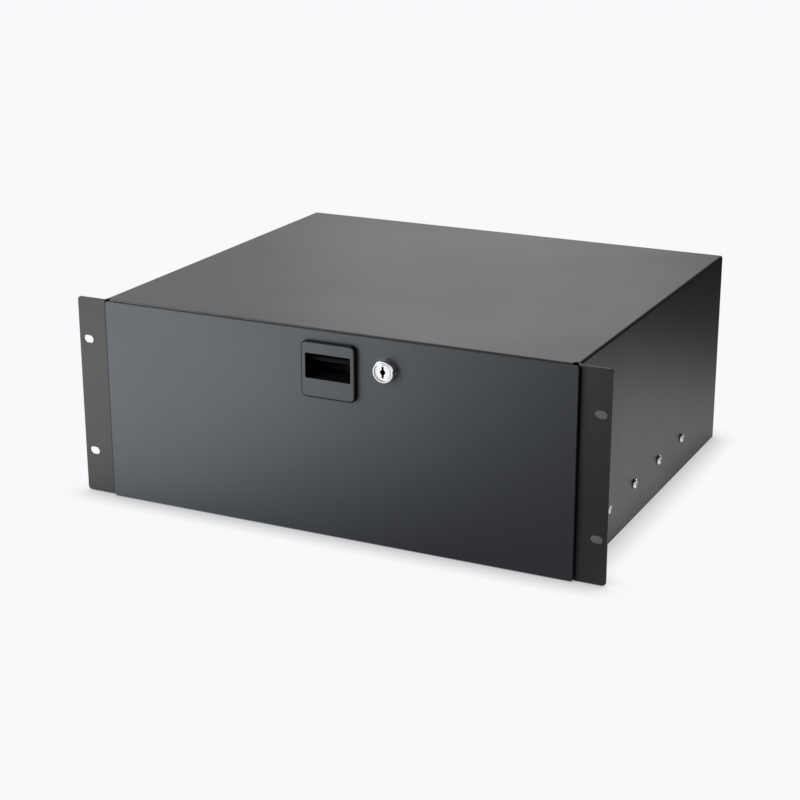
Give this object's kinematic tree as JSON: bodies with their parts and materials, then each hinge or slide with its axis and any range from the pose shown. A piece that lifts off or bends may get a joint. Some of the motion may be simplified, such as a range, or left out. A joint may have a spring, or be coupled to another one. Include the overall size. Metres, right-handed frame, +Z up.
{
  "type": "sliding rack drawer",
  "caption": "Lockable steel drawer on full-extension ball slides in a folded case with slotted ears, for mounting in an equipment rack.",
  "frame": {"origin": "centre of the four rack slots, on the rear plane of the ears where they meet the rack rails", "axes": "+X to the right as seen from the front, +Y to the rear of the rack, +Z up; the drawer opens towards -Y"},
  "size_m": [0.4826, 0.3832, 0.177],
  "materials": {
    "case_paint": "fine black powder coat, semi-matt",
    "front_paint": "fine black powder coat, satin",
    "zinc": "bright zinc plate",
    "bright_steel": "polished nickel",
    "chrome": "polished chrome",
    "black_plastic": "fine moulded grain",
    "rubber": "matt"
  },
  "bodies": {
    "case": {"case_shell": "case_paint", "bottom_pan": "case_paint", "strike": "zinc", "outer_rail_left": "zinc", "rail_screws_left": "bright_steel", "rail_buffer_left": "rubber", "outer_rail_right": "zinc", "rail_screws_right": "bright_steel", "rail_buffer_right": "rubber"},
    "drawer": {"drawer_tray": "case_paint", "front_panel": "front_paint", "panel_bumpers": "rubber", "inner_rail_left": "zinc", "inner_rail_right": "zinc", "tray_screws_left": "bright_steel", "tray_screws_right": "bright_steel", "latch_housing": "black_plastic", "latch_faceplate": "front_paint", "lever_pin": "bright_steel", "latch_spring": "bright_steel", "latch_cover": "zinc", "latch_screws": "zinc", "lock_body": "chrome", "lock_nut": "zinc"},
    "middle_slide_left": {"middle_rail_left": "zinc"},
    "outer_retainer_left": {"outer_cage_left": "zinc", "outer_balls_left": "bright_steel"},
    "inner_retainer_left": {"inner_cage_left": "zinc", "inner_balls_left": "bright_steel"},
    "middle_slide_right": {"middle_rail_right": "zinc"},
    "outer_retainer_right": {"outer_cage_right": "zinc", "outer_balls_right": "bright_steel"},
    "inner_retainer_right": {"inner_cage_right": "zinc", "inner_balls_right": "bright_steel"},
    "latch_lever": {"latch_lever": "black_plastic"},
    "latch_bolt": {"latch_bolt": "black_plastic"},
    "lock_plug": {"lock_plug": "chrome", "lock_cam": "zinc", "cam_screw": "zinc"}
  },
  "joints": [
    {"name": "drawer_slide", "type": "slide", "parent": "case", "child": "drawer", "axis": [0, -1, 0], "range_m": [0, 0.345]},
    {"name": "middle_slide_left_travel", "type": "slide", "parent": "case", "child": "middle_slide_left", "axis": [0, -1, 0], "range_m": [0, 0.1726]},
    {"name": "outer_retainer_left_travel", "type": "slide", "parent": "case", "child": "outer_retainer_left", "axis": [0, -1, 0], "range_m": [0, 0.08635]},
    {"name": "inner_retainer_left_travel", "type": "slide", "parent": "case", "child": "inner_retainer_left", "axis": [0, -1, 0], "range_m": [0, 0.25885]},
    {"name": "middle_slide_right_travel", "type": "slide", "parent": "case", "child": "middle_slide_right", "axis": [0, -1, 0], "range_m": [0, 0.1726]},
    {"name": "outer_retainer_right_travel", "type": "slide", "parent": "case", "child": "outer_retainer_right", "axis": [0, -1, 0], "range_m": [0, 0.08635]},
    {"name": "inner_retainer_right_travel", "type": "slide", "parent": "case", "child": "inner_retainer_right", "axis": [0, -1, 0], "range_m": [0, 0.25885]},
    {"name": "latch_lever_pivot", "type": "hinge", "parent": "drawer", "child": "latch_lever", "pos_m": [0.0035, 0.01, 0.0635], "axis": [-1, 0, 0], "range_deg": [-18, 16]},
    {"name": "latch_bolt_slide", "type": "slide", "parent": "drawer", "child": "latch_bolt", "axis": [0, 0, -1], "range_m": [-0.0044, 0.0039], "stiffness_N_per_m": 120, "deforming": ["latch_spring"]},
    {"name": "lock_turn", "type": "hinge", "parent": "drawer", "child": "lock_plug", "pos_m": [0.0535, 0, 0.0622], "axis": [0, -1, 0], "range_deg": [0, 90]}
  ],
  "couplings": [
    {"joint": "middle_slide_left_travel", "follows": "drawer_slide", "ratio": 0.5},
    {"joint": "outer_retainer_left_travel", "follows": "drawer_slide", "ratio": 0.25},
    {"joint": "inner_retainer_left_travel", "follows": "drawer_slide", "ratio": 0.75},
    {"joint": "middle_slide_right_travel", "follows": "drawer_slide", "ratio": 0.5},
    {"joint": "outer_retainer_right_travel", "follows": "drawer_slide", "ratio": 0.25},
    {"joint": "inner_retainer_right_travel", "follows": "drawer_slide", "ratio": 0.75},
    {"joint": "latch_lever_pivot", "follows": "latch_bolt_slide", "rad_per_m": 70.422}
  ]
}
